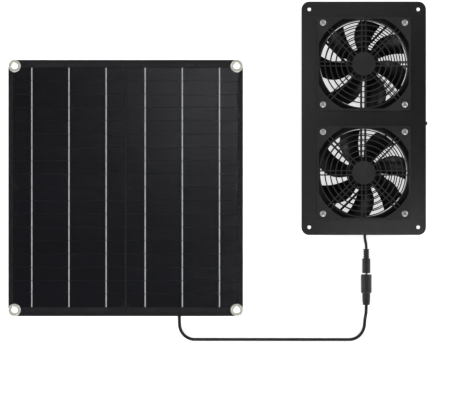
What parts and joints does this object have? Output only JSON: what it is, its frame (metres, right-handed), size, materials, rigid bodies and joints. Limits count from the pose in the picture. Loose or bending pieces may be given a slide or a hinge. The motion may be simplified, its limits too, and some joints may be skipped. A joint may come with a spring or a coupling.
{
  "type": "solar attic fan",
  "caption": "Twin axial fans behind square guards on a flat mounting plate, wired through a barrel plug to a flat solar panel with eyelets in its corners.",
  "frame": {"origin": "middle of the underside of the bounding box without the cords: the plane the object lies on", "axes": "+X from the panel towards the fan unit, +Y towards the top of both units, +Z out of the fans' front guards and out of the panel's face"},
  "size_m": [0.5414, 0.4378, 0.0379],
  "materials": {
    "backing": "satin glass-fibre board with a white back",
    "film": "clear film with a fine satin texture",
    "cells": "almost black monocrystalline silicon",
    "ribbon": "tinned copper, dulled under the film",
    "bus": "ribbon behind a black strip",
    "eyelet": "nickel-plated brass",
    "box_plastic": "fine-grained moulding",
    "black_rubber": "matt",
    "screw_zinc": "zinc-plated",
    "brass": "stamped",
    "nickel": "nickel-plated",
    "diode_body": "moulded",
    "lead_insulation": "black sleeving",
    "cord_jacket": "smooth PVC jacket",
    "plug_plastic": "moulded PVC",
    "insulator": "natural nylon",
    "plate_paint": "satin black powder coat on steel",
    "guard_plastic": "fine-grained ABS",
    "housing_plastic": "glass-filled PBT",
    "rotor_plastic": "moulded PBT",
    "yoke_steel": "drawn steel",
    "magnet": "bonded ferrite",
    "polished_steel": "ground",
    "core_steel": "stacked laminations",
    "winding": "enamelled copper wire",
    "circuit": "green solder mask",
    "tie_nylon": "black nylon",
    "sleeve": "shrink sleeve"
  },
  "bodies": {
    "fan_unit": {"mounting_plate": "plate_paint", "upper_front_guard": "guard_plastic", "upper_rear_guard": "guard_plastic", "upper_housing": "housing_plastic", "upper_bearings": "polished_steel", "upper_stator_core": "core_steel", "upper_stator_coils": "winding", "upper_circuit_board": "circuit", "upper_guard_screws": "screw_zinc", "upper_guard_nuts": "screw_zinc", "upper_lead": "lead_insulation", "lower_front_guard": "guard_plastic", "lower_rear_guard": "guard_plastic", "lower_housing": "housing_plastic", "lower_bearings": "polished_steel", "lower_stator_core": "core_steel", "lower_stator_coils": "winding", "lower_circuit_board": "circuit", "lower_guard_screws": "screw_zinc", "lower_guard_nuts": "screw_zinc", "lower_lead": "lead_insulation", "lead_tie": "tie_nylon", "lead_splice": "sleeve", "fan_cord": "cord_jacket", "plug_housing": "plug_plastic", "plug_contacts": "nickel", "plug_insulator": "insulator"},
    "panel_unit": {"panel_backing": "backing", "panel_front_film": "film", "cell_strips": "cells", "cell_ribbons": "ribbon", "bus_ribbons": "bus", "corner_eyelets": "eyelet", "eyelet_washers": "eyelet", "junction_box": "box_plastic", "junction_box_lid": "box_plastic", "junction_box_gasket": "black_rubber", "junction_box_screws": "screw_zinc", "junction_box_terminals": "brass", "bypass_diode": "diode_body", "junction_box_leads": "lead_insulation", "cable_gland": "black_rubber", "panel_cord": "cord_jacket", "socket_housing": "plug_plastic", "socket_contact": "nickel", "socket_pin": "nickel"},
    "upper_rotor": {"upper_impeller": "rotor_plastic", "upper_rotor_yoke": "yoke_steel", "upper_rotor_magnet": "magnet", "upper_rotor_shaft": "polished_steel", "upper_shaft_clip": "yoke_steel", "upper_preload_washer": "polished_steel"},
    "lower_rotor": {"lower_impeller": "rotor_plastic", "lower_rotor_yoke": "yoke_steel", "lower_rotor_magnet": "magnet", "lower_rotor_shaft": "polished_steel", "lower_shaft_clip": "yoke_steel", "lower_preload_washer": "polished_steel"}
  },
  "joints": [
    {"name": "upper_rotor_spin", "type": "hinge", "parent": "fan_unit", "child": "upper_rotor", "pos_m": [0.1874, 0.12245, 0.017], "axis": [0, 0, 1], "continuous": true},
    {"name": "lower_rotor_spin", "type": "hinge", "parent": "fan_unit", "child": "lower_rotor", "pos_m": [0.1874, -0.01755, 0.017], "axis": [0, 0, 1], "continuous": true},
    {"name": "connector_pull", "type": "slide", "parent": "fan_unit", "child": "panel_unit", "axis": [0, -1, 0], "range_m": [0, 0.01]}
  ]
}
